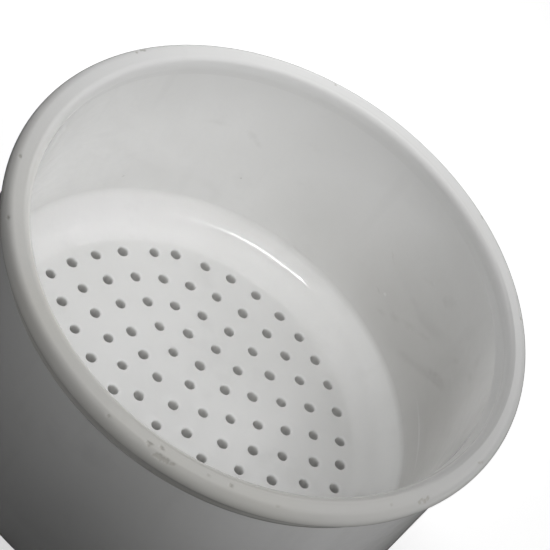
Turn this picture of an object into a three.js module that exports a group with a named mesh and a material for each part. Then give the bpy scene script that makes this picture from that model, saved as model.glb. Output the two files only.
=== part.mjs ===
// A round glazed cheese mould: a straight-sided bowl with a rolled lip, a flat floor pierced
// with rings of drain holes, and a low foot ring. Millimetres, +Z up, origin on the table under the axis.
//
// The fired mould is one piece of glazed clay. Its five solids are the clay parts that are luted
// together before firing: foot ring, coved base, floor disc, straight wall and rolled rim.

import * as THREE from 'three';

// Driving dimensions
const RIM_OUTER_DIAMETER = 230;
const RIM_WIDTH = 12;             // radial width of the rolled lip
const RIM_HEIGHT = 7.2;
const RIM_EDGE_RADIUS = 4.2;      // rounding of the lip's two upper edges; its lower outer edge has the rest
const INSIDE_DEPTH = 107.2;       // inner floor to the top of the lip
const FLOOR_THICKNESS = 7;
const FLOOR_DISC_DIAMETER = 179;
const COVE_RADIUS = 17;           // inside corner between floor and wall
const WALL_THICKNESS = 7.4;       // at the top
const WALL_DRAFT = 0.5;           // how much the inside narrows in radius from lip to cove
const OUTER_DRAFT = 1;            // the same, on the outside of the wall
const BASE_CORNER_RADIUS = 12;    // outside corner between wall and underside
const SEAT_WIDTH = 3.6;           // ledge that the floor disc rests on, clear of the outermost holes
const SEAT_THICKNESS = 3;
const FOOT_HEIGHT = 8;
const FOOT_WIDTH_TOP = 9;
const FOOT_WIDTH_BOTTOM = 6;
const LUTING_GAP = 0.3;           // thickness of the slip between two clay parts

// Drain holes: one in the middle and six rings of 6, 12, 18 ... 36, pierced by hand
const HOLE_DIAMETER = 4.6;
const HOLE_RINGS = 6;
const FIRST_RING_RADIUS = 14.3;
const RING_STEP = 13.1;
const HOLES_PER_RING_STEP = 6;
const RADIAL_WANDER = 0.6;        // the most that a hole wavers off its ring, mm
const ANGULAR_WANDER = 0.5;       // the same along the ring, mm
const START_LAG = 0.4;            // how far short of +Y each ring starts, mm
const OUTER_RING_DRIFT = 3.2;     // how far the outermost ring's spacing runs ahead and behind, mm
const STRAY_HOLES = [             // ring, number in the ring, then how far out and along it missed, mm
  [1, 2, 1.4, -0.7], [2, 0, -0.6, 1.4], [2, 2, -1.1, 1.0], [2, 11, 1.4, 0], [3, 3, -1.7, 1.5],
  [4, 18, 0.4, -1.3], [5, 24, 1.2, 0], [6, 3, 1.3, 1.6], [6, 4, 0.3, -1.5], [6, 30, -0.6, -1.4],
];

// Facets
const TURNS = 60;                 // sides round the axis
const HOLE_SIDES = 10;
const ARC_STEPS = 5;              // facets in each quarter turn of a profile

// Heights of the joints, from the table up
const seatBottom = FOOT_HEIGHT + LUTING_GAP;
const floorBottom = seatBottom + SEAT_THICKNESS + LUTING_GAP;
const floorTop = floorBottom + FLOOR_THICKNESS;
const baseTop = floorTop + COVE_RADIUS;
const rimTop = floorTop + INSIDE_DEPTH;
const rimBottom = rimTop - RIM_HEIGHT;
const wallTop = rimBottom - LUTING_GAP;

// Radii
const rimOuter = RIM_OUTER_DIAMETER / 2;
const rimInner = rimOuter - RIM_WIDTH;
const wallOuterTop = rimInner + WALL_THICKNESS;
const wallOuterBase = wallOuterTop - OUTER_DRAFT;
const wallInnerBase = rimInner - WALL_DRAFT;
const coveEdge = wallInnerBase - COVE_RADIUS;
const floorEdge = FLOOR_DISC_DIAMETER / 2 + LUTING_GAP;
const footOuter = wallOuterBase - BASE_CORNER_RADIUS;

const glaze = (name, color, roughness) =>
  new THREE.MeshStandardMaterial({ name, color, roughness, metalness: 0 });

// Points on an arc in the (radius, height) plane, angles in quarter turns from straight outwards
function arc(centreR, centreZ, radiusR, radiusZ, fromQuarter, toQuarter) {
  const steps = Math.max(1, Math.round(Math.abs(toQuarter - fromQuarter) * ARC_STEPS));
  return Array.from({ length: steps + 1 }, (_, i) => {
    const angle = (fromQuarter + ((toQuarter - fromQuarter) * i) / steps) * (Math.PI / 2);
    return new THREE.Vector2(centreR + radiusR * Math.cos(angle), centreZ + radiusZ * Math.sin(angle));
  });
}

// A closed outline in the (radius, height) plane, anticlockwise, turned about the Z axis
function turned(outline) {
  const closed = [...outline, outline[0].clone()];
  return new THREE.LatheGeometry(closed, TURNS).rotateX(Math.PI / 2);
}

const point = (r, z) => new THREE.Vector2(r, z);

function polygon(sides, radius, centreX = 0, centreY = 0) {
  return Array.from({ length: sides }, (_, i) => {
    const angle = (i / sides) * 2 * Math.PI;
    return new THREE.Vector2(centreX + radius * Math.cos(angle), centreY + radius * Math.sin(angle));
  });
}

// A tapered ring that the mould stands on
function footRing() {
  const taper = (FOOT_WIDTH_TOP - FOOT_WIDTH_BOTTOM) / 2;
  return turned([
    point(footOuter - taper, 0),
    point(footOuter, FOOT_HEIGHT),
    point(footOuter - FOOT_WIDTH_TOP, FOOT_HEIGHT),
    point(footOuter - FOOT_WIDTH_TOP + taper, 0),
  ]);
}

// The base: a coved inside corner, a rounded outside corner and the ledge that carries the floor disc.
// The cove ends where it meets the disc, a little before it would run out level.
function base() {
  const coveEnd = -Math.acos((floorEdge - coveEdge) / COVE_RADIUS) / (Math.PI / 2);
  return turned([
    ...arc(footOuter, seatBottom + BASE_CORNER_RADIUS, BASE_CORNER_RADIUS, BASE_CORNER_RADIUS, -1, 0),
    point(wallOuterBase, baseTop),
    ...arc(coveEdge, baseTop, COVE_RADIUS, COVE_RADIUS, 0, coveEnd),
    point(floorEdge, floorBottom - LUTING_GAP),
    point(floorEdge - SEAT_WIDTH, floorBottom - LUTING_GAP),
    point(floorEdge - SEAT_WIDTH, seatBottom),
  ]);
}

// The wall: a plain ring that widens a little towards the lip
function wall() {
  return turned([
    point(wallOuterBase, baseTop + LUTING_GAP),
    point(wallOuterTop, wallTop),
    point(rimInner, wallTop),
    point(wallInnerBase, baseTop + LUTING_GAP),
  ]);
}

// The rolled lip: a flat top between two rounded edges, the outer one rolled right under
function rim() {
  const edgeMiddle = rimTop - RIM_EDGE_RADIUS;
  const lowerRadius = RIM_HEIGHT - RIM_EDGE_RADIUS;
  return turned([
    ...arc(rimOuter - lowerRadius, edgeMiddle, lowerRadius, lowerRadius, -1, 0),
    ...arc(rimOuter - RIM_EDGE_RADIUS, edgeMiddle, RIM_EDGE_RADIUS, RIM_EDGE_RADIUS, 0, 1).slice(1),
    ...arc(rimInner + RIM_EDGE_RADIUS, edgeMiddle, RIM_EDGE_RADIUS, RIM_EDGE_RADIUS, 1, 2),
    point(rimInner, rimBottom),
  ]);
}

// How far out and along its ring a hole is from its even place. The waver is fixed and repeatable, as if
// pierced by hand, and the spacing drifts more in the larger rings.
function missedBy(ring, number, evenAngle) {
  const stray = STRAY_HOLES.find(([r, n]) => r === ring && n === number) ?? [ring, number, 0, 0];
  const drift = OUTER_RING_DRIFT * (ring / HOLE_RINGS) ** 3 * Math.cos(evenAngle);
  return {
    out: RADIAL_WANDER * Math.sin(1.3 * ring + 5.9 * number) + stray[2],
    along: ANGULAR_WANDER * Math.sin(0.1 * ring + 1.2 * number) + drift - START_LAG + stray[3],
  };
}

function holeCentres() {
  const centres = [point(0, 0)];
  for (let ring = 1; ring <= HOLE_RINGS; ring++) {
    const count = HOLES_PER_RING_STEP * ring;
    const ringRadius = FIRST_RING_RADIUS + (ring - 1) * RING_STEP;
    for (let number = 0; number < count; number++) {
      const evenAngle = Math.PI / 2 + (number / count) * 2 * Math.PI;
      const { out, along } = missedBy(ring, number, evenAngle);
      const angle = evenAngle + along / ringRadius;
      centres.push(point((ringRadius + out) * Math.cos(angle), (ringRadius + out) * Math.sin(angle)));
    }
  }
  return centres;
}

function piercedFloor() {
  const disc = new THREE.Shape(polygon(TURNS, floorEdge - LUTING_GAP));
  for (const centre of holeCentres()) {
    disc.holes.push(new THREE.Path(polygon(HOLE_SIDES, HOLE_DIAMETER / 2, centre.x, centre.y)));
  }
  return new THREE.ExtrudeGeometry(disc, { depth: FLOOR_THICKNESS, bevelEnabled: false })
    .translate(0, 0, floorBottom);
}

function node(name, geometry, material) {
  const mesh = new THREE.Mesh(geometry, material);
  mesh.name = name;
  return mesh;
}

const mould = new THREE.Group();
mould.add(
  node('foot_ring', footRing(), glaze('bare_foot', 0xcdc6b8, 0.6)),
  node('coved_base', base(), glaze('white_glaze_base', 0xe9e8e4, 0.12)),
  node('mould_wall', wall(), glaze('white_glaze_wall', 0xe9e8e4, 0.12)),
  node('pierced_floor', piercedFloor(), glaze('white_glaze_floor', 0xecebe8, 0.1)),
  node('rolled_rim', rim(), glaze('white_glaze_rim', 0xe6e5df, 0.12)),
);

export default mould;
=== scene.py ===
import math

import bpy
import numpy as np
from mathutils import Matrix, Vector
from mathutils.geometry import delaunay_2d_cdt


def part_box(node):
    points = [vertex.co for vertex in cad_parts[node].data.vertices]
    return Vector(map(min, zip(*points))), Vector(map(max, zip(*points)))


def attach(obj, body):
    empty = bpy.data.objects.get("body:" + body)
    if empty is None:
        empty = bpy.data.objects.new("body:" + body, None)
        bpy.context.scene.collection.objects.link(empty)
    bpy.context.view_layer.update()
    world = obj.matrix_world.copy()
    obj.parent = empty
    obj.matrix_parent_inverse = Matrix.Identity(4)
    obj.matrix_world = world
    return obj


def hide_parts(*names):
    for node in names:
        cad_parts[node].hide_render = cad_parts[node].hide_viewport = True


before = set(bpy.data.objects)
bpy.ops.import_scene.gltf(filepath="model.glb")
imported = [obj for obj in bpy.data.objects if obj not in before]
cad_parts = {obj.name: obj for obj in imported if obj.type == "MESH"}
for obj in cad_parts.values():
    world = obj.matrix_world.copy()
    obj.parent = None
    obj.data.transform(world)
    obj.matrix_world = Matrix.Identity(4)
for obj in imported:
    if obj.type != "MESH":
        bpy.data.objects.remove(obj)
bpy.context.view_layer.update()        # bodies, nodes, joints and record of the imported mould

# A white glazed cheese mould. The fired ware is one skin of glaze over five luted clay parts, so each
# part ends exactly where the next one starts, and no seam shows.
# Sections are in millimetres, in the (radius, height) plane, and meshes are in metres.

MM = 0.001


# ---------------------------------------------------------------- sizes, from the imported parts

def extent(node):
    """(largest radius, lowest, highest) of a turned part, in millimetres."""
    low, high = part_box(node)
    return high.x / MM, low.z / MM, high.z / MM


RIM_OUTER, RIM_BOTTOM, RIM_TOP = extent("rolled_rim")
WALL_OUTER_TOP, WALL_BOTTOM, _ = extent("mould_wall")
WALL_OUTER_BASE, BASE_BOTTOM, BASE_TOP = extent("coved_base")
FLOOR_DISC, FLOOR_BOTTOM, FLOOR_TOP = extent("pierced_floor")
FOOT_OUTER, _, _ = extent("foot_ring")

LUTING_GAP = WALL_BOTTOM - BASE_TOP
RIM_WIDTH = 12.0
RIM_EDGE = 4.2           # rounding of the lip's upper edges
WALL_DRAFT = 0.5         # how much the inside narrows in radius from lip to cove
LEDGE_WIDTH = 3.6        # of the ledge that carries the floor disc
BASE_CORNER = 11.0       # rounding of the outside corner
FOOT_TAPER = 1.5
FOOT_WIDTH_TOP = 9.0

RIM_INNER = RIM_OUTER - RIM_WIDTH
RIM_LOWER_EDGE = RIM_TOP - RIM_BOTTOM - RIM_EDGE
WALL_INNER_BASE = RIM_INNER - WALL_DRAFT
COVE_RADIUS = BASE_TOP - FLOOR_TOP
COVE_EDGE = WALL_INNER_BASE - COVE_RADIUS
LEDGE_INNER = FLOOR_DISC + LUTING_GAP - LEDGE_WIDTH

RIM_TUCK = -50           # degrees round the lip's lower edge, where its underside leaves for the wall
RIM_GROOVE = (RIM_INNER + RIM_EDGE + 0.5, 0.5, 0.06)   # radius, half width and depth of a fine line
EASED_EDGE = (14, 38, 2.5)   # middle and spread in degrees, and the most in mm that the edge stands back
EASED_WIDTH = 7          # how far out from the lip's inner radius the easing reaches, mm
EASED_FADE = 4           # over how much of that it fades out
CHIP_SHOWN = 0.25        # depth at which a chip shows its full colour, mm

# Drain holes, where the clay floor has them
HOLE_RADIUS = 2.3
HOLE_RINGS = 6
HOLES_PER_RING_STEP = 6
FIRST_RING_RADIUS = 14.3
RING_STEP = 13.1
RADIAL_WANDER = 0.6
ANGULAR_WANDER = 0.5
START_LAG = 0.4
OUTER_RING_DRIFT = 3.2
STRAY_HOLES = {          # (ring, number in the ring): how far out and along it missed, mm
    (1, 2): (1.4, -0.7), (2, 0): (-0.6, 1.4), (2, 2): (-1.1, 1.0), (2, 11): (1.4, 0), (3, 3): (-1.7, 1.5),
    (4, 18): (0.4, -1.3), (5, 24): (1.2, 0), (6, 3): (1.3, 1.6), (6, 4): (0.3, -1.5), (6, 30): (-0.6, -1.4),
}
HOLE_SIDES = 28
HOLE_EDGE = 0.8          # rounding of the glazed edge, inside the bowl
HOLE_EDGE_BELOW = 0.5    # the same underneath
BORE_SPREAD = 0.04       # how much the holes differ in width, as a share of it
BORE_OVAL = 0.025        # how oval a hole is, as a share of its width
BORE_DENTS = 0.012       # the same for its smaller unevenness
BORE_SHADE_TOP = 0.15         # how far down a hole its painted shade starts, mm
BORE_SHADE_FADE = 2.2         # over how much of its depth the painted shade grows, mm

# Small roundings by the glaze, in mm
LEDGE_HOLLOW = 0.9
LEDGE_EDGE = 0.6
FOOT_HOLLOW_INSIDE = 1.2
FOOT_HOLLOW_OUTSIDE = 1.1
FOOT_EDGE = 1.5
FOOT_FLAT_INSET = 2.0    # how far in from each side the level bottom of the foot starts
FOOT_TOP_INSET = 0.2     # how far the foot's outer side stands back where it meets the base

# How far one piece of the skin laps past the corner where the next one starts, in mm
LIP_LAP = 3.0            # down the outside of the wall
COVE_LAP = 0.4           # in over the level floor
LEDGE_LAP = 1.2          # in under the floor disc
FOOT_LAP = 1.4           # in from the foot, under the base

# The most that throwing and firing by hand moved the clay, in mm
OVAL = 0.30
WAVER = 0.16
RIPPLE = 0.05
LIP_DIP = 0.35
FLOOR_SAG = 0.45
FLOOR_WAVE = 0.12

TURNS = 360              # steps round the axis
RIM_TURNS = 1080         # finer on the lip, for its chips


# ---------------------------------------------------------------- outlines

def arc(centre, radii, start, end, steps):
    """Points on an arc, angles in degrees anticlockwise from straight outwards."""
    angles = np.radians(np.linspace(start, end, steps + 1))
    return np.column_stack([centre[0] + radii[0] * np.cos(angles), centre[1] + radii[1] * np.sin(angles)])


def line(start, end, step=2.5):
    """Points from start to end, both included, no further apart than step."""
    count = max(1, math.ceil(math.dist(start, end) / step))
    return np.linspace(start, end, count + 1)


def rounded(before, corner, after, radius, steps=10):
    """The arc that rounds the corner between two straight stretches."""
    corner = np.array(corner, float)
    back = np.array(before, float) - corner
    on = np.array(after, float) - corner
    back /= np.linalg.norm(back)
    on /= np.linalg.norm(on)
    half = math.acos(np.clip(back @ on, -1, 1)) / 2
    middle = (back + on) / np.linalg.norm(back + on)
    centre = corner + middle * radius / math.sin(half)
    first = corner + back * radius / math.tan(half) - centre
    last = corner + on * radius / math.tan(half) - centre
    share = np.linspace(0, 1, steps + 1)[:, None]
    sweep = math.pi - 2 * half
    return centre + (np.sin((1 - share) * sweep) * first + np.sin(share * sweep) * last) / math.sin(sweep)


def joined(*stretches):
    """One outline from several stretches, with each repeated point kept once."""
    points = np.vstack(stretches)
    keep = np.r_[True, np.linalg.norm(np.diff(points, axis=0), axis=1) > 1e-4]
    return points[keep]


# Where the outer and inner skins pass from one clay part to the next
SEAM_RIM_OUT = (WALL_OUTER_TOP, RIM_BOTTOM - LIP_LAP)
SEAM_RIM_IN = (RIM_INNER, RIM_BOTTOM - LUTING_GAP / 2)
SEAM_BASE_OUT = (WALL_OUTER_BASE, BASE_TOP + LUTING_GAP)
SEAM_BASE_IN = (WALL_INNER_BASE, BASE_TOP + LUTING_GAP)
SEAM_FLOOR_IN = (COVE_EDGE - COVE_LAP, FLOOR_TOP)
SEAM_FLOOR_UNDER = (LEDGE_INNER - LEDGE_LAP, FLOOR_BOTTOM)
SEAM_FOOT_OUT = (WALL_OUTER_BASE - BASE_CORNER, BASE_BOTTOM)
SEAM_FOOT_IN = (FOOT_OUTER - FOOT_WIDTH_TOP - FOOT_LAP, BASE_BOTTOM)


def rim_outline():
    """The lip, from the outer seam round its underside and top to the inner seam."""
    middle = RIM_TOP - RIM_EDGE
    tuck = math.radians(RIM_TUCK)
    point = np.array([RIM_OUTER - RIM_LOWER_EDGE, middle])
    normal = np.array([math.cos(tuck), math.sin(tuck)])
    point = point + RIM_LOWER_EDGE * normal
    fillet = (point[0] - WALL_OUTER_TOP) / (1 - normal[0])
    centre = point + fillet * normal
    start = math.degrees(math.atan2(-normal[1], -normal[0]))
    outer_edge = (RIM_OUTER - RIM_EDGE, middle)
    inner_edge = (RIM_INNER + RIM_EDGE, middle)
    top = line((outer_edge[0], RIM_TOP), (inner_edge[0], RIM_TOP), 0.25)
    return joined(
        line(SEAM_RIM_OUT, (WALL_OUTER_TOP, centre[1]), 0.8),
        arc(centre, (fillet, fillet), 180, start, 10),
        arc((RIM_OUTER - RIM_LOWER_EDGE, middle), (RIM_LOWER_EDGE, RIM_LOWER_EDGE), RIM_TUCK, 0, 10),
        arc(outer_edge, (RIM_EDGE, RIM_EDGE), 0, 90, 18),
        top,
        arc(inner_edge, (RIM_EDGE, RIM_EDGE), 90, 180, 18),
        line((RIM_INNER, middle), SEAM_RIM_IN, 0.8),
    )


def wall_outline():
    """The wall: up the outside, then, past the hidden seam under the lip, down the inside."""
    return (line(SEAM_BASE_OUT, SEAM_RIM_OUT), line(SEAM_RIM_IN, SEAM_BASE_IN))


def base_outline():
    """The base: outside corner up to the wall, the cove inside, and the step under the ledge."""
    corner = (WALL_OUTER_BASE, BASE_BOTTOM)
    ledge_low = (LEDGE_INNER, BASE_BOTTOM)
    ledge_high = (LEDGE_INNER, FLOOR_BOTTOM)
    outside = joined(rounded(SEAM_FOOT_OUT, corner, SEAM_BASE_OUT, BASE_CORNER, 20),
                     line((WALL_OUTER_BASE, BASE_BOTTOM + BASE_CORNER), SEAM_BASE_OUT))
    inside = joined([SEAM_BASE_IN], arc((COVE_EDGE, BASE_TOP), (COVE_RADIUS, COVE_RADIUS), 0, -90, 40),
                    [SEAM_FLOOR_IN])
    under = joined([SEAM_FLOOR_UNDER], rounded(SEAM_FLOOR_UNDER, ledge_high, ledge_low, LEDGE_HOLLOW),
                   rounded(ledge_high, ledge_low, SEAM_FOOT_IN, LEDGE_EDGE), [SEAM_FOOT_IN])
    return outside, inside, under


def foot_outline():
    """The foot ring, from the inner seam down, across its bare bottom and up to the outer seam."""
    inner_top = (FOOT_OUTER - FOOT_WIDTH_TOP, BASE_BOTTOM)
    inner_low = (FOOT_OUTER - FOOT_WIDTH_TOP + FOOT_TAPER, 0)
    outer_low = (FOOT_OUTER - FOOT_TAPER, 0)
    outer_top = (FOOT_OUTER - FOOT_TOP_INSET, BASE_BOTTOM)
    return joined(
        [SEAM_FOOT_IN],
        rounded(SEAM_FOOT_IN, inner_top, inner_low, FOOT_HOLLOW_INSIDE),
        rounded(inner_top, inner_low, outer_low, FOOT_EDGE),
        line((inner_low[0] + FOOT_FLAT_INSET, 0), (outer_low[0] - FOOT_FLAT_INSET, 0), 0.5),
        rounded(inner_low, outer_low, outer_top, FOOT_EDGE),
        rounded(outer_low, outer_top, SEAM_FOOT_OUT, FOOT_HOLLOW_OUTSIDE),
        [SEAM_FOOT_OUT],
    )


# ---------------------------------------------------------------- the hand-made unevenness

def hand_made(points):
    """Moves points as throwing and firing did: the round is slightly oval, the lip dips, the floor sags."""
    x, y, z = points.T
    radius = np.hypot(x, y)
    angle = np.arctan2(y, x)
    height = z / RIM_TOP
    oval = OVAL * (1 + np.sin(2 * angle + 3.7)) / 2
    waver = WAVER * (1 + np.sin(3 * angle + 2.0 + 1.5 * height)) / 2
    ripple = RIPPLE * (1 + np.sin(7 * angle + 5 * height)) / 2
    shrink = 1 - (oval + waver + ripple) * height / RIM_OUTER
    dip = LIP_DIP * (1 + np.sin(2 * angle + 2.4)) / 2 * height ** 4
    inside_edge = np.clip(1 - (radius / LEDGE_INNER) ** 2, 0, 1)
    sag = inside_edge ** 2 * (FLOOR_SAG - FLOOR_WAVE * np.sin(x / 14 + 1) * np.sin(y / 17))
    near_floor = (z > FLOOR_BOTTOM - 1) & (z < FLOOR_TOP + 1)
    return np.column_stack([x * shrink, y * shrink, z - dip + np.where(near_floor, -sag, 0)])


# Chips and pits in the lip: (azimuth in degrees, distance from the axis, size and depth in mm)
LIP_CHIPS = [
    (-98.5, 112.6, 0.8, 0.22), (-89.2, 110.9, 1.2, 0.34), (-86.7, 109.1, 0.9, 0.30),
    (-86.9, 113.1, 1.1, 0.36), (-86.0, 112.9, 1.3, 0.40), (-85.2, 112.8, 1.0, 0.34),
    (-84.5, 112.7, 1.2, 0.36), (-83.4, 112.5, 0.9, 0.30), (-76.0, 109.2, 0.8, 0.14),
    (-71.2, 109.2, 0.9, 0.26), (-61.0, 112.0, 0.8, 0.16), (-35.4, 110.3, 0.8, 0.16),
    (-28.6, 112.5, 0.9, 0.30), (-27.8, 111.9, 0.8, 0.26), (-27.2, 112.8, 1.0, 0.32),
    (-26.2, 112.3, 0.9, 0.30), (-9.4, 112.3, 0.8, 0.28), (-8.7, 112.9, 0.7, 0.24),
    (33.0, 112.8, 0.9, 0.24), (59.2, 112.8, 1.0, 0.26), (104.0, 111.5, 0.9, 0.20),
    (151.0, 112.9, 1.2, 0.30), (153.0, 112.4, 0.8, 0.24), (198.0, 112.0, 1.0, 0.24),
    (214.0, 113.0, 0.8, 0.22),
]


def lip_height(radius):
    """Height of the lip's top surface at a distance from the axis."""
    nearest_edge = np.minimum(radius - RIM_INNER, RIM_OUTER - radius)
    into_edge = np.clip(RIM_EDGE - nearest_edge, 0, RIM_EDGE)
    return RIM_TOP - RIM_EDGE + np.sqrt(RIM_EDGE ** 2 - into_edge ** 2)


def eased_edge(points, azimuths):
    """Moves the lip's inner edge outwards round one side, where the clay was pressed back by hand."""
    middle, spread, most = EASED_EDGE
    away = (np.degrees(azimuths) - middle + 180) % 360 - 180
    radius = np.hypot(points[:, 0], points[:, 1])
    across = np.clip((RIM_INNER + EASED_WIDTH - radius) / EASED_FADE, 0, 1)
    up = np.clip((points[:, 2] - RIM_BOTTOM) / (RIM_TOP - RIM_EDGE - RIM_BOTTOM), 0, 1)
    wider = 1 + most * np.exp(-(away / spread) ** 2) * across * up / radius
    return points * np.column_stack([wider, wider, np.ones(len(points))])


def sunk_marks(points, azimuths):
    """Sinks the fine line and the chips into the lip, and says how deep in each one a point is (0 to 1)."""
    radius = np.hypot(points[:, 0], points[:, 1])
    on_top = points[:, 2] > RIM_TOP - RIM_EDGE
    groove_radius, groove_half_width, groove_depth = RIM_GROOVE
    away = (radius - groove_radius) / groove_half_width
    # The groove is deepest round the right side, and its share below also sets the painted shade in it.
    strength = np.clip(0.5 + 0.6 * np.cos(azimuths - 0.3) + 0.2 * np.sin(5 * azimuths), 0.05, 1)
    groove = np.where(on_top, groove_depth * strength * np.exp(-away ** 2), 0)
    chip = np.zeros(len(points))
    for azimuth, spot_radius, size, deepest in LIP_CHIPS:
        angle = math.radians(azimuth)
        spot = np.array([spot_radius * math.cos(angle), spot_radius * math.sin(angle),
                         lip_height(spot_radius)])
        ragged = size * (1 + 0.3 * np.sin(3 * azimuth + points[:, 0] * 2.6 + points[:, 1] * 1.9))
        share = np.clip(1 - (np.linalg.norm(points - spot, axis=1) / ragged) ** 2, 0, 1)
        chip = np.maximum(chip, deepest * np.sqrt(share))
    middle_radius = (RIM_INNER + RIM_OUTER) / 2
    middle = np.column_stack([middle_radius * np.cos(azimuths), middle_radius * np.sin(azimuths),
                              np.full(len(points), RIM_TOP - RIM_EDGE)])
    inward = middle - points
    inward /= np.maximum(np.linalg.norm(inward, axis=1), 1e-6)[:, None]
    down = np.array([0, 0, -1])
    marks = {"chip": np.clip(chip / CHIP_SHOWN, 0, 1), "line": groove / groove_depth}
    return points + inward * chip[:, None] + down * groove[:, None], marks


def finished_lip(points, azimuths):
    """Eases the lip's inner edge, then sinks its marks."""
    return sunk_marks(eased_edge(points, azimuths), azimuths)


# ---------------------------------------------------------------- meshes

def mesh_object(name, points, faces, material, hidden=(), marks=None):
    """A mesh object from points in millimetres; hidden are the numbers of the luting faces, kept sharp."""
    mesh = bpy.data.meshes.new(name)
    mesh.from_pydata((hand_made(points) * MM).tolist(), [], faces)
    mesh.polygons.foreach_set("use_smooth", np.ones(len(mesh.polygons), bool))
    luting_edges = {tuple(sorted(key)) for number in hidden for key in mesh.polygons[number].edge_keys}
    sharp = [tuple(sorted(edge.vertices)) in luting_edges for edge in mesh.edges]
    mesh.attributes.new("sharp_edge", "BOOLEAN", "EDGE").data.foreach_set("value", sharp)
    for mark, values in (marks or {}).items():
        mesh.attributes.new(mark, "FLOAT", "POINT").data.foreach_set("value", values)
    mesh.materials.append(material)
    mesh.update()
    piece = bpy.data.objects.new(name, mesh)
    bpy.context.scene.collection.objects.link(piece)
    return piece


def turned(name, stretches, material, turns=TURNS, finish=None):
    """A ring from outline stretches. The joins between them, and back to the first, are luting faces."""
    outline = np.vstack(stretches)
    ends = np.cumsum([len(stretch) for stretch in stretches]) - 1
    count = len(outline)
    azimuths = np.repeat(np.arange(turns) * 2 * math.pi / turns, count)
    radius = np.tile(outline[:, 0], turns)
    height = np.tile(outline[:, 1], turns)
    points = np.column_stack([radius * np.cos(azimuths), radius * np.sin(azimuths), height])
    faces, hidden = [], []
    for turn in range(turns):
        here, there = turn * count, (turn + 1) % turns * count
        for i in range(count):
            if i in ends:
                hidden.append(len(faces))
            after = (i + 1) % count
            faces.append((here + i, there + i, there + after, here + after))
    marks = None
    if finish:
        points, marks = finish(points, azimuths)
    return mesh_object(name, points, faces, material, hidden, marks)


def missed_by(ring, number, even_angle):
    """How far out and along its ring a hole is from its even place."""
    stray_out, stray_along = STRAY_HOLES.get((ring, number), (0, 0))
    drift = OUTER_RING_DRIFT * (ring / HOLE_RINGS) ** 3 * math.cos(even_angle)
    out = RADIAL_WANDER * math.sin(1.3 * ring + 5.9 * number) + stray_out
    along = ANGULAR_WANDER * math.sin(0.1 * ring + 1.2 * number) + drift - START_LAG + stray_along
    return out, along


def hole_centres():
    """The middle of each drain hole, where the clay floor has it."""
    centres = [(0.0, 0.0)]
    for ring in range(1, HOLE_RINGS + 1):
        count = HOLES_PER_RING_STEP * ring
        ring_radius = FIRST_RING_RADIUS + (ring - 1) * RING_STEP
        for number in range(count):
            even_angle = math.pi / 2 + number / count * 2 * math.pi
            out, along = missed_by(ring, number, even_angle)
            angle = even_angle + along / ring_radius
            centres.append(((ring_radius + out) * math.cos(angle), (ring_radius + out) * math.sin(angle)))
    return np.array(centres)


def hole_section():
    """How much wider than its bore a hole is at each height, from the inner floor down to the underside."""
    upper = arc((HOLE_EDGE, FLOOR_TOP - HOLE_EDGE), (HOLE_EDGE, HOLE_EDGE), 90, 180, 7)
    lower = arc((HOLE_EDGE_BELOW, FLOOR_BOTTOM + HOLE_EDGE_BELOW), (HOLE_EDGE_BELOW,) * 2, 180, 270, 4)
    bore = line(upper[-1], lower[0], 1.2)
    return joined(upper, bore, lower)


def circle(radius, sides):
    """Points evenly round a circle about the axis."""
    angles = np.arange(sides) * 2 * math.pi / sides
    return np.column_stack([radius * np.cos(angles), radius * np.sin(angles)])


def flat_face(edge, holes, spacing=3.6):
    """Triangulates a disc with holes: its points (edge, then each hole's, then filling) and triangles."""
    step_y = spacing * math.sqrt(3) / 2
    reach = np.linalg.norm(edge[0])
    rows = np.arange(-reach, reach, step_y)
    fill = np.array([(x + spacing / 2 * (k % 2), y) for k, y in enumerate(rows)
                     for x in np.arange(-reach, reach, spacing)])
    fill = fill[np.hypot(*fill.T) < reach - spacing / 2]
    for hole in holes:
        centre = hole.mean(axis=0)
        wide = np.linalg.norm(hole[0] - centre)
        fill = fill[np.hypot(*(fill - centre).T) > wide + spacing / 3]
    loops = [edge, *holes]
    starts = np.cumsum([0] + [len(loop) for loop in loops])
    owner = np.full(starts[-1] + len(fill), -1)
    edges = []
    for number, loop in enumerate(loops):
        ids = np.arange(starts[number], starts[number + 1])
        owner[ids] = number
        edges += list(zip(ids.tolist(), np.roll(ids, -1).tolist()))
    points = np.vstack([*loops, fill])
    _, _, triangles, origin, _, _ = delaunay_2d_cdt([Vector(p) for p in points], edges, [], 0, 1e-7)
    back = [ids[0] for ids in origin]
    kept = []
    for triangle in triangles:
        a, b, c = (back[i] for i in triangle)
        if not owner[a] == owner[b] == owner[c] or owner[a] < 1:
            kept.append((a, b, c))
    return points, kept


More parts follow.
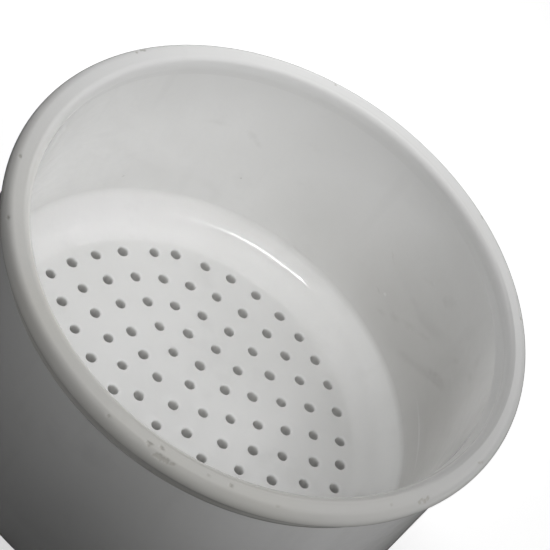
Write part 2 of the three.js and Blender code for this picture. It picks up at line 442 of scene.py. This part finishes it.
def pierced_floor(material):
    """The floor disc with its drain holes, each with edges rounded by the glaze."""
    section = hole_section()
    centres = hole_centres()
    turn = np.arange(HOLE_SIDES) * 2 * math.pi / HOLE_SIDES
    way = np.column_stack([np.cos(turn), np.sin(turn)])
    rings = []                       # rings[hole][level] is a loop of points
    for number, centre in enumerate(centres):
        bore = HOLE_RADIUS * (1 + BORE_SPREAD * math.sin(2.9 * number))
        uneven = 1 + BORE_OVAL * np.sin(2 * turn + 1.3 * number) + BORE_DENTS * np.sin(5 * turn + number)
        rings.append([centre + way * (bore * uneven + wider)[:, None] for wider, _ in section])
    top_points, top_faces = flat_face(circle(SEAM_FLOOR_IN[0], TURNS), [r[0] for r in rings])
    low_points, low_faces = flat_face(circle(SEAM_FLOOR_UNDER[0], TURNS), [r[-1] for r in rings])
    below = len(top_points)
    points = [np.column_stack([top_points, np.full(len(top_points), FLOOR_TOP)]),
              np.column_stack([low_points, np.full(len(low_points), FLOOR_BOTTOM)])]
    faces = top_faces + [(below + c, below + b, below + a) for a, b, c in low_faces]
    bore_shade_share = [np.zeros(below + len(low_points))]
    total = below + len(low_points)
    depths = FLOOR_TOP - section[:, 1]
    for number, ring in enumerate(rings):
        top_start = TURNS + number * HOLE_SIDES
        starts = [top_start]
        for level in range(1, len(section) - 1):
            points.append(np.column_stack([ring[level], np.full(HOLE_SIDES, section[level, 1])]))
            bore_shade_share.append(np.full(HOLE_SIDES, np.clip((depths[level] - BORE_SHADE_TOP) / BORE_SHADE_FADE, 0, 1)))
            starts.append(total)
            total += HOLE_SIDES
        starts.append(below + top_start)
        for upper, lower in zip(starts, starts[1:]):
            for i in range(HOLE_SIDES):
                j = (i + 1) % HOLE_SIDES
                faces.append((upper + i, upper + j, lower + j, lower + i))
    hidden = range(len(faces), len(faces) + TURNS)
    for i in range(TURNS):
        j = (i + 1) % TURNS
        faces.append((below + i, below + j, j, i))
    return mesh_object("glazed_floor", np.vstack(points), faces, material, hidden,
                       {"bore_shade_share": np.concatenate(bore_shade_share)})


# ---------------------------------------------------------------- materials

def add(tree, kind, inputs=None, **settings):
    """Adds a shader node; each input is a value, or a socket to link from."""
    made = tree.nodes.new(kind)
    for name, value in settings.items():
        setattr(made, name, value)
    for name, value in (inputs or {}).items():
        if isinstance(value, bpy.types.NodeSocket):
            tree.links.new(value, made.inputs[name])
        else:
            made.inputs[name].default_value = value
    return made


def mixed(tree, share, first, second, blend="MIX"):
    """A colour between first and second by share."""
    node = add(tree, "ShaderNodeMix", {0: share, 6: first, 7: second}, data_type="RGBA", blend_type=blend)
    return node.outputs[2]


def ramp(tree, value, low, high, to_low=0.0, to_high=1.0):
    """value, stretched from low..high to to_low..to_high and held there."""
    node = add(tree, "ShaderNodeMapRange", {0: value, 1: low, 2: high, 3: to_low, 4: to_high})
    return node.outputs[0]


def noise(tree, place, scale, detail=2.0, roughness=0.5):
    """Cloudy values about 0.5, with the scale in clouds to the metre."""
    return add(tree, "ShaderNodeTexNoise", {"Vector": place, "Scale": scale, "Detail": detail,
                                            "Roughness": roughness}).outputs["Fac"]


# Colours of the glaze
WHITE = (0.92, 0.92, 0.915, 1)
LIT_WHITE = (0.955, 0.955, 0.95, 1)        # painted light: a brighter white on the floor and the cove
LIP_WHITE = (0.87, 0.87, 0.865, 1)
LIT_TO_WALL_WHITE = (0.963, 0.963, 0.963, 1)    # multiplies the brighter, painted-light white down to the wall's
POOLED = (0.88, 0.88, 0.87, 1)
SMEAR = (0.60, 0.60, 0.59, 1)
RUN = (0.62, 0.62, 0.61, 1)
SPECK = (0.16, 0.15, 0.14, 1)

# Colours of wear, and of painted shade
WARM = (1.0, 0.985, 0.93, 1)                 # multiplies the lip's colour
# painted shade, darkest over the lip's front and right
LIP_SHADE = (0.69, 0.687, 0.678, 1)
# painted shade deep in the drain holes
BORE_SHADE = (0.68, 0.675, 0.66, 1)
# grime on the wall, and the colour of its broad painted shade
GRIME_AND_SHADE = (0.50, 0.49, 0.47, 1)
SCRATCH = (0.97, 0.97, 0.965, 1)
BODY = (0.50, 0.48, 0.43, 1)
# painted shade in the lip's fine groove
GROOVE_SHADE = (0.60, 0.595, 0.57, 1)

# Colours of the bare clay
CLAY = (0.56, 0.53, 0.47, 1)
CLAY_GRAIN = (0.42, 0.39, 0.34, 1)
CLAY_GRIME = (0.22, 0.20, 0.17, 1)

# Scales of the patterns, in clouds or cells to the metre
MOTTLE_SCALE = 14
LIP_PATCH_SCALE = 22
SMEAR_SCALE = 38
WIPE_SCALE = 60
SPECK_SCALE = 62
RUN_SCALE = 75
CLAY_GRIME_SCALE = 90
PEEL_SCALE = 130
SHAKE_SCALE = 420
CLAY_GRAIN_SCALE = 700
FINE_SCALE = 900

SPECK_SIZE = 0.035       # as a share of a cell
SPECK_SHARE = 0.16       # of the cells that have a speck
RUN_SQUEEZE = 0.12       # how much the runs' clouds are drawn out downwards
GLAZE_IOR = 1.5
GLAZE_BUMP = {"Strength": 0.35, "Distance": 0.0004}
CLAY_BUMP = {"Strength": 0.5, "Distance": 0.0003}
WIPED_BARE = 0.0002      # height up to which the foot is quite bare, m
WIPED_CLEAN = 0.0006     # height from which its glaze is whole, m
WIPE_SHAKE = 0.0012      # how ragged the glaze's edge is there, m


def surface(name):
    """A new material, with its node tree, its object-space position and its main shader."""
    material = bpy.data.materials.new(name)
    material.use_nodes = True
    tree = material.node_tree
    place = tree.nodes.new("ShaderNodeTexCoord").outputs["Object"]
    shader = tree.nodes["Principled BSDF"]
    return material, tree, place, shader


def specks(tree, place):
    """Small dark iron specks: 1 on a speck. Only a share of the cells has one."""
    cells = add(tree, "ShaderNodeTexVoronoi", {"Vector": place, "Scale": SPECK_SCALE})
    near = ramp(tree, cells.outputs["Distance"], SPECK_SIZE, SPECK_SIZE * 0.5)
    pick = add(tree, "ShaderNodeSeparateColor", {0: cells.outputs["Color"]}).outputs[0]
    chosen = ramp(tree, pick, SPECK_SHARE, SPECK_SHARE - 0.001)
    return add(tree, "ShaderNodeMath", {0: near, 1: chosen}, operation="MULTIPLY").outputs[0]


MARK_DEPTH = 4.0         # the least that half a mark reaches through the wall, mm
GRIME_AND_SHADE_SHAKE = 2.6        # how ragged the edges of the grime and of the painted shade are, mm
SCRATCH_SHAKE = 0.6      # the same for scratches
PAINTED_SHADE_START = 12.5        # height above the floor where the wall's painted shade starts on the cove, mm

# Marks of use on the inner wall: (azimuth in degrees, height above the floor in mm, half its length and
# half its width in mm, its tilt from level in degrees, and how strong it is)
WALL_GRIME = [
    (61.5, 30, 3.2, 1.3, -25, 0.14), (57.5, 36, 3.4, 1.9, -36, 0.22), (53.0, 42, 5.0, 1.7, -36, 0.2),
    (47.0, 49, 5.2, 1.2, -36, 0.2), (68.2, 57, 3.4, 0.4, 40, 0.24), (65.6, 36.6, 2.0, 0.7, 21, 0.3),
    (56.0, 68, 5.0, 0.9, -30, 0.1), (48.0, 74, 5.5, 2.8, -50, 0.14), (49.2, 71, 2.2, 1.5, 10, 0.14),
    (38.0, 46, 1.8, 1.4, -36, 0.26), (36.2, 49, 2.4, 1.1, -60, 0.26), (33.0, 53, 3.0, 1.0, -36, 0.18),
    (33.9, 67, 3.0, 1.6, -60, 0.22), (27.6, 84, 2.4, 3.4, -30, 0.14), (25.3, 78, 3.4, 2.0, -40, 0.2),
    (30.0, 60, 2.2, 1.3, 0, 0.12), (14.0, 62, 6.0, 2.4, -60, 0.12), (20.0, 38, 20.0, 2.2, -6, 0.12),
    (114.6, 66.5, 4.0, 1.8, 39, 0.12), (112.3, 63, 2.6, 1.3, 20, 0.1), (125.0, 69, 6.0, 1.6, 0, 0.07),
    (116.5, 27, 7.0, 3.0, 30, 0.06), (154.0, 62, 7.0, 2.2, 15, 0.06), (111.1, 38.7, 0.5, 0.4, 0, 0.7),
    (140.1, 25.8, 0.5, 0.4, 0, 0.7), (205.0, 60, 4.0, 1.5, 30, 0.16), (262.0, 75, 5.0, 1.3, -35, 0.16),
    (300.0, 41, 3.0, 1.6, 60, 0.16),
]
# Broad painted shade over the inner wall, darkest on the right, in the same columns as the marks of use
WALL_PAINTED_SHADE = [(18.0, 46, 76.0, 56.0, 0, 0.76), (62.0, 30, 58.0, 42.0, 0, 0.42)]
WALL_SCRATCHES = [
    (4.0, 93, 11.0, 0.30, -84, 0.6), (1.0, 100, 6.0, 0.25, -70, 0.5), (24.0, 31, 18.0, 0.8, 0, 0.3),
    (63.5, 38.5, 0.9, 0.9, 0, 0.4), (240.0, 88, 9.0, 0.25, 65, 0.5), (322.0, 70, 8.0, 0.25, -75, 0.5),
]


def shaken(tree, place, shake):
    """A place moved about by up to half of shake in millimetres, which makes a mark's edges ragged."""
    cloud = add(tree, "ShaderNodeTexNoise",
                {"Vector": place, "Scale": SHAKE_SCALE, "Detail": 3}).outputs["Color"]
    shift = add(tree, "ShaderNodeVectorMath", {0: cloud, 1: (0.5, 0.5, 0.5)},
                operation="SUBTRACT").outputs[0]
    shift = add(tree, "ShaderNodeVectorMath", {0: shift, "Scale": shake * MM},
                operation="SCALE").outputs[0]
    return add(tree, "ShaderNodeVectorMath", {0: place, 1: shift}, operation="ADD").outputs[0]


def ragged_ovals(tree, place, colour, marks, paint, shake):
    """Paints ragged oval marks on the inner wall: marks of use, and broad painted shade."""
    moved = shaken(tree, place, shake)
    for azimuth, height, half_length, half_width, tilt, strength in marks:
        turn = math.radians(azimuth)
        centre = (WALL_INNER_BASE * MM * math.cos(turn), WALL_INNER_BASE * MM * math.sin(turn),
                  (FLOOR_TOP + height) * MM)
        reach = (max(MARK_DEPTH, half_length) * MM, half_length * MM, half_width * MM)
        local = add(tree, "ShaderNodeMapping",
                    {"Vector": moved, "Location": centre, "Rotation": (math.radians(tilt), 0, turn),
                     "Scale": reach}, vector_type="TEXTURE").outputs[0]
        away = add(tree, "ShaderNodeVectorMath", {0: local}, operation="LENGTH").outputs["Value"]
        colour = mixed(tree, ramp(tree, away, 1.3, 0.2, 0, strength), colour, paint)
    return colour


def wall_wear_and_shade(tree, colour, place):
    """Faint grime, smears and scratches on the inner wall, as years of use leave them, with broad painted
    shade over its right side.
    """
    colour = ragged_ovals(tree, place, colour, WALL_PAINTED_SHADE + WALL_GRIME, GRIME_AND_SHADE, GRIME_AND_SHADE_SHAKE)
    return ragged_ovals(tree, place, colour, WALL_SCRATCHES, SCRATCH, SCRATCH_SHAKE)


def cove_painted_shade(tree, colour, place):
    """The wall's painted shade, which fades out down the cove to the floor's brighter, painted-light white.
    """
    shaded_colour = mixed(tree, 1.0, colour, LIT_TO_WALL_WHITE, "MULTIPLY")
    shaded_colour = ragged_ovals(tree, place, shaded_colour, WALL_PAINTED_SHADE, GRIME_AND_SHADE, GRIME_AND_SHADE_SHAKE)
    height = add(tree, "ShaderNodeSeparateXYZ", {0: place}).outputs[2]
    return mixed(tree, ramp(tree, height, (FLOOR_TOP + PAINTED_SHADE_START) * MM, BASE_TOP * MM), colour, shaded_colour)


def glaze(name, white=WHITE, drips=0.0, extra=None):
    """Glossy glaze over white clay: soft mottling, orange peel, specks, faint smears and, if asked, runs."""
    material, tree, place, shader = surface(name)
    cloud = noise(tree, place, MOTTLE_SCALE, 3)
    colour = mixed(tree, ramp(tree, cloud, 0.35, 0.75), white, POOLED)
    smear = noise(tree, place, SMEAR_SCALE, 4, 0.6)
    colour = mixed(tree, ramp(tree, smear, 0.58, 0.8, 0, 0.18), colour, SMEAR)
    colour = mixed(tree, specks(tree, place), colour, SPECK)
    peel = noise(tree, place, PEEL_SCALE, 2)
    fine = noise(tree, place, FINE_SCALE, 1)
    height = add(tree, "ShaderNodeMath", {0: peel, 1: 0.9}, operation="MULTIPLY").outputs[0]
    height = add(tree, "ShaderNodeMath", {0: fine, 1: 0.03, 2: height}, operation="MULTIPLY_ADD").outputs[0]
    if drips:
        squeezed = add(tree, "ShaderNodeMapping",
                       {"Vector": place, "Scale": (1, 1, RUN_SQUEEZE)}).outputs[0]
        runs = noise(tree, squeezed, RUN_SCALE, 2)
        height = add(tree, "ShaderNodeMath", {0: runs, 1: drips, 2: height},
                     operation="MULTIPLY_ADD").outputs[0]
        colour = mixed(tree, ramp(tree, runs, 0.56, 0.72, 0, 0.10), colour, RUN)
    if extra:
        colour = extra(tree, colour, place)
    bump = add(tree, "ShaderNodeBump", {"Height": height, **GLAZE_BUMP})
    tree.links.new(bump.outputs[0], shader.inputs["Normal"])
    tree.links.new(colour, shader.inputs["Base Color"])
    tree.links.new(ramp(tree, smear, 0.4, 0.85, 0.06, 0.18), shader.inputs["Roughness"])
    shader.inputs["IOR"].default_value = GLAZE_IOR
    return material


def painted_bore_shade(tree, colour, place):
    """Darkens the glaze down the drain holes with depth: painted shade in the bores."""
    depth = add(tree, "ShaderNodeAttribute", attribute_name="bore_shade_share").outputs["Fac"]
    return mixed(tree, depth, colour, BORE_SHADE)


def towards(tree, place, azimuth, start, end, strength):
    """A share that grows across the mould towards one side, from start to end in metres from the axis."""
    turn = math.radians(azimuth)
    way = (math.cos(turn), math.sin(turn), 0)
    reach = add(tree, "ShaderNodeVectorMath", {0: place, 1: way}, operation="DOT_PRODUCT").outputs["Value"]
    return ramp(tree, reach, start, end, 0, strength)


def lip_wear_and_shade(tree, colour, place):
    """Warms the lip on the side where it is handled, darkens it towards its front and right as painted
    shade, darkens its fine groove as painted shade, and darkens its chips.
    """
    patches = noise(tree, place, LIP_PATCH_SCALE, 2)
    patchy = ramp(tree, patches, 0.2, 0.7, 0.45, 1)
    handled = towards(tree, place, azimuth=-100, start=0.0, end=0.1, strength=0.8)
    warm = add(tree, "ShaderNodeMath", {0: handled, 1: patchy}, operation="MULTIPLY").outputs[0]
    # Painted shade: the lip darker towards its front and right.
    front_shade = towards(tree, place, azimuth=-45, start=-0.03, end=0.09, strength=0.9)
    colour = mixed(tree, front_shade, colour, LIP_SHADE)
    colour = mixed(tree, warm, colour, WARM, "MULTIPLY")
    # Painted shade in the fine groove, from its depth share.
    groove_shade_share = add(tree, "ShaderNodeAttribute", attribute_name="line").outputs["Fac"]
    colour = mixed(tree, ramp(tree, groove_shade_share, 0.1, 1, 0, 0.15), colour, GROOVE_SHADE)
    chip = add(tree, "ShaderNodeAttribute", attribute_name="chip").outputs["Fac"]
    return mixed(tree, ramp(tree, chip, 0.1, 0.8, 0, 0.55), colour, BODY)


def bare_foot():
    """The foot: glazed on its sides and wiped bare where it stands, with scuffs and grime."""
    material, tree, place, shader = surface("bare_foot")
    height = add(tree, "ShaderNodeSeparateXYZ", {0: place}).outputs[2]
    edge = noise(tree, place, WIPE_SCALE, 3)
    level = add(tree, "ShaderNodeMath", {0: edge, 1: -WIPE_SHAKE, 2: height},
                operation="MULTIPLY_ADD").outputs[0]
    bare = ramp(tree, level, WIPED_CLEAN, WIPED_BARE)
    grain = noise(tree, place, CLAY_GRAIN_SCALE, 4, 0.7)
    clay = mixed(tree, ramp(tree, grain, 0.35, 0.7), CLAY, CLAY_GRAIN)
    grime = noise(tree, place, CLAY_GRIME_SCALE, 5, 0.7)
    clay = mixed(tree, ramp(tree, grime, 0.5, 0.75, 0, 0.6), clay, CLAY_GRIME)
    tree.links.new(mixed(tree, bare, WHITE, clay), shader.inputs["Base Color"])
    tree.links.new(ramp(tree, bare, 0, 1, 0.12, 0.75), shader.inputs["Roughness"])
    rough = add(tree, "ShaderNodeMath", {0: grain, 1: bare}, operation="MULTIPLY").outputs[0]
    bump = add(tree, "ShaderNodeBump", {"Height": rough, **CLAY_BUMP})
    tree.links.new(bump.outputs[0], shader.inputs["Normal"])
    return material


# ---------------------------------------------------------------- the mould

def placed(piece, node):
    """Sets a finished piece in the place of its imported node."""
    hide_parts(node)
    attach(piece, "root")


def build_mould():
    """Makes the five pieces, and gives back the coved one in a collection, for the strips to light."""
    lip = turned("glazed_lip", [rim_outline()], glaze("lip_glaze", LIP_WHITE, extra=lip_wear_and_shade),
                 RIM_TURNS, finished_lip)
    wall = turned("glazed_wall", wall_outline(), glaze("wall_glaze", drips=0.8, extra=wall_wear_and_shade))
    base = turned("glazed_base", base_outline(), glaze("base_glaze", LIT_WHITE, extra=cove_painted_shade))
    floor = pierced_floor(glaze("floor_glaze", LIT_WHITE, extra=painted_bore_shade))
    foot = turned("standing_foot", [foot_outline()], bare_foot())
    placed(lip, "rolled_rim")
    placed(wall, "mould_wall")
    placed(base, "coved_base")
    placed(floor, "pierced_floor")
    placed(foot, "foot_ring")
    cove = bpy.data.collections.new("cove")
    cove.objects.link(base)
    return cove


# ---------------------------------------------------------------- stage, lights and camera

# Lengths in metres and angles in degrees
TABLE_REACH = 6.0
TABLE_WHITE = (0.9, 0.9, 0.9, 1)
TABLE_GLOW = 0.64        # makes the table as white as the photo's background
CARD_REACH = 0.9
CARD_LIFT = 0.0003       # keeps the card clear of the table
CARD_BLACK = (0.02, 0.02, 0.02, 1)

LIGHT_DISTANCE = 1.5     # of the softboxes and strips from the mould
SPOT_DISTANCE = 1.4
SPOT_BEAM = 9.2          # about as wide as the mould's opening
SPOT_SOFTNESS = 0.5
SPOT_RADIUS = 0.06
STRIP_ELEVATION = 29.0
STRIP_HEIGHT = 0.05
WORLD_LIGHT = 0.03

CAMERA_AIM = (0.0014, 0.0467, 0.0722)
CAMERA_DISTANCE = 1.0706
CAMERA_ELEVATION = 46.7
CAMERA_ROLL = 36.85
SENSOR_WIDTH = 36.0      # millimetres
FOCAL_LENGTH = 163.6     # millimetres


def flat_card(name, reach, height, colour, roughness):
    """A plain horizontal square of the stage."""
    mesh = bpy.data.meshes.new(name)
    mesh.from_pydata([(-reach, -reach, height), (reach, -reach, height), (reach, reach, height),
                      (-reach, reach, height)], [], [(0, 1, 2, 3)])
    card = bpy.data.objects.new(name, mesh)
    bpy.context.scene.collection.objects.link(card)
    material, _, _, shader = surface(name)
    shader.inputs["Base Color"].default_value = colour
    shader.inputs["Roughness"].default_value = roughness
    mesh.materials.append(material)
    return card, shader


def pale_table():
    """A bright pale surface, and an unseen black card on it that keeps its light off the mould's outside."""
    _, shader = flat_card("pale_table", TABLE_REACH, 0.0, TABLE_WHITE, 0.7)
    shader.inputs["Emission Color"].default_value = (1, 1, 1, 1)
    shader.inputs["Emission Strength"].default_value = TABLE_GLOW
    card, _ = flat_card("black_card", CARD_REACH, CARD_LIFT, CARD_BLACK, 0.9)
    card.visible_camera = False
    card.visible_shadow = False


def hung(name, light, aim, azimuth, elevation, distance):
    """Hangs a light in a direction in degrees and at a distance in metres from what it faces."""
    turn, tilt = math.radians(azimuth), math.radians(elevation)
    way = Vector((math.cos(turn) * math.cos(tilt), math.sin(turn) * math.cos(tilt), math.sin(tilt)))
    lamp = bpy.data.objects.new(name, light)
    lamp.location = Vector(aim) + way * distance
    lamp.rotation_euler = (-way).to_track_quat("-Z", "Y").to_euler()
    lamp.visible_camera = False
    bpy.context.scene.collection.objects.link(lamp)
    return lamp


def softbox(name, azimuth, elevation, size, power, height=None, distance=LIGHT_DISTANCE):
    """A studio light that faces the middle of the mould, square unless it has a height of its own."""
    light = bpy.data.lights.new(name, "AREA")
    light.shape = "RECTANGLE"
    light.size = size
    light.size_y = height or size
    light.energy = power
    return hung(name, light, (0, 0, RIM_TOP / 2 * MM), azimuth, elevation, distance)


def snooted_spot(name, azimuth, elevation, aim, power):
    """A soft-edged spot into the bowl, which doesn't show in the gloss."""
    light = bpy.data.lights.new(name, "SPOT")
    light.spot_size = math.radians(SPOT_BEAM)
    light.spot_blend = SPOT_SOFTNESS
    light.shadow_soft_size = SPOT_RADIUS
    light.energy = power
    lamp = hung(name, light, aim, azimuth, elevation, SPOT_DISTANCE)
    lamp.visible_glossy = False


def gloss_strip(name, azimuth, width, power, shown_in):
    """A low, wide strip that only shows as a line in the gloss of one collection."""
    strip = softbox(name, azimuth, STRIP_ELEVATION, width, power, height=STRIP_HEIGHT)
    strip.visible_diffuse = False
    strip.light_linking.receiver_collection = shown_in


def dim_world():
    """A faint even light from all round."""
    world = bpy.data.worlds.new("studio")
    world.use_nodes = True
    background = world.node_tree.nodes["Background"]
    background.inputs["Color"].default_value = (1, 1, 1, 1)
    background.inputs["Strength"].default_value = WORLD_LIGHT
    bpy.context.scene.world = world


def light_studio(shown_in):
    """Soft light from the right and behind, spots into the bowl, and strips for the cove's gloss."""
    side = softbox("side_softbox", azimuth=0, elevation=30, size=0.6, power=6.3)
    side.visible_glossy = False
    softbox("back_softbox", azimuth=52, elevation=53, size=1.2, power=4.1)
    softbox("top_softbox", azimuth=-90, elevation=70, size=0.8, power=1.0)
    near = softbox("lip_softbox", azimuth=117, elevation=35, size=0.2, power=0.61, distance=0.41)
    near.visible_glossy = False
    snooted_spot("front_spot", azimuth=-90, elevation=50, aim=(0, 0.043, 0.085), power=27.5)
    snooted_spot("right_spot", azimuth=-40, elevation=52, aim=(-0.02, 0.02, 0.09), power=6.0)
    gloss_strip("gloss_strip", azimuth=-85, width=1.0, power=6.5, shown_in=shown_in)
    gloss_strip("faint_gloss_strip", azimuth=-60, width=1.2, power=2.6, shown_in=shown_in)
    dim_world()
    bpy.context.scene.view_settings.view_transform = "Standard"


def aim_camera():
    """Looks steeply down into the mould from the front, with the camera rolled to its side."""
    elevation, roll = math.radians(CAMERA_ELEVATION), math.radians(CAMERA_ROLL)
    back = Vector((0, -math.cos(elevation), math.sin(elevation)))
    right = Vector((1, 0, 0))
    up = back.cross(right)
    across = math.cos(roll) * right + math.sin(roll) * up
    upright = math.cos(roll) * up - math.sin(roll) * right
    place = Vector(CAMERA_AIM) + back * CAMERA_DISTANCE
    camera = bpy.data.objects.new("camera", bpy.data.cameras.new("camera"))
    camera.data.sensor_width = SENSOR_WIDTH
    camera.data.lens = FOCAL_LENGTH
    camera.matrix_world = Matrix((
        (across.x, upright.x, back.x, place.x),
        (across.y, upright.y, back.y, place.y),
        (across.z, upright.z, back.z, place.z),
        (0, 0, 0, 1),
    ))
    bpy.context.scene.collection.objects.link(camera)
    bpy.context.scene.camera = camera


aim_camera()
cove = build_mould()
pale_table()
light_studio(cove)
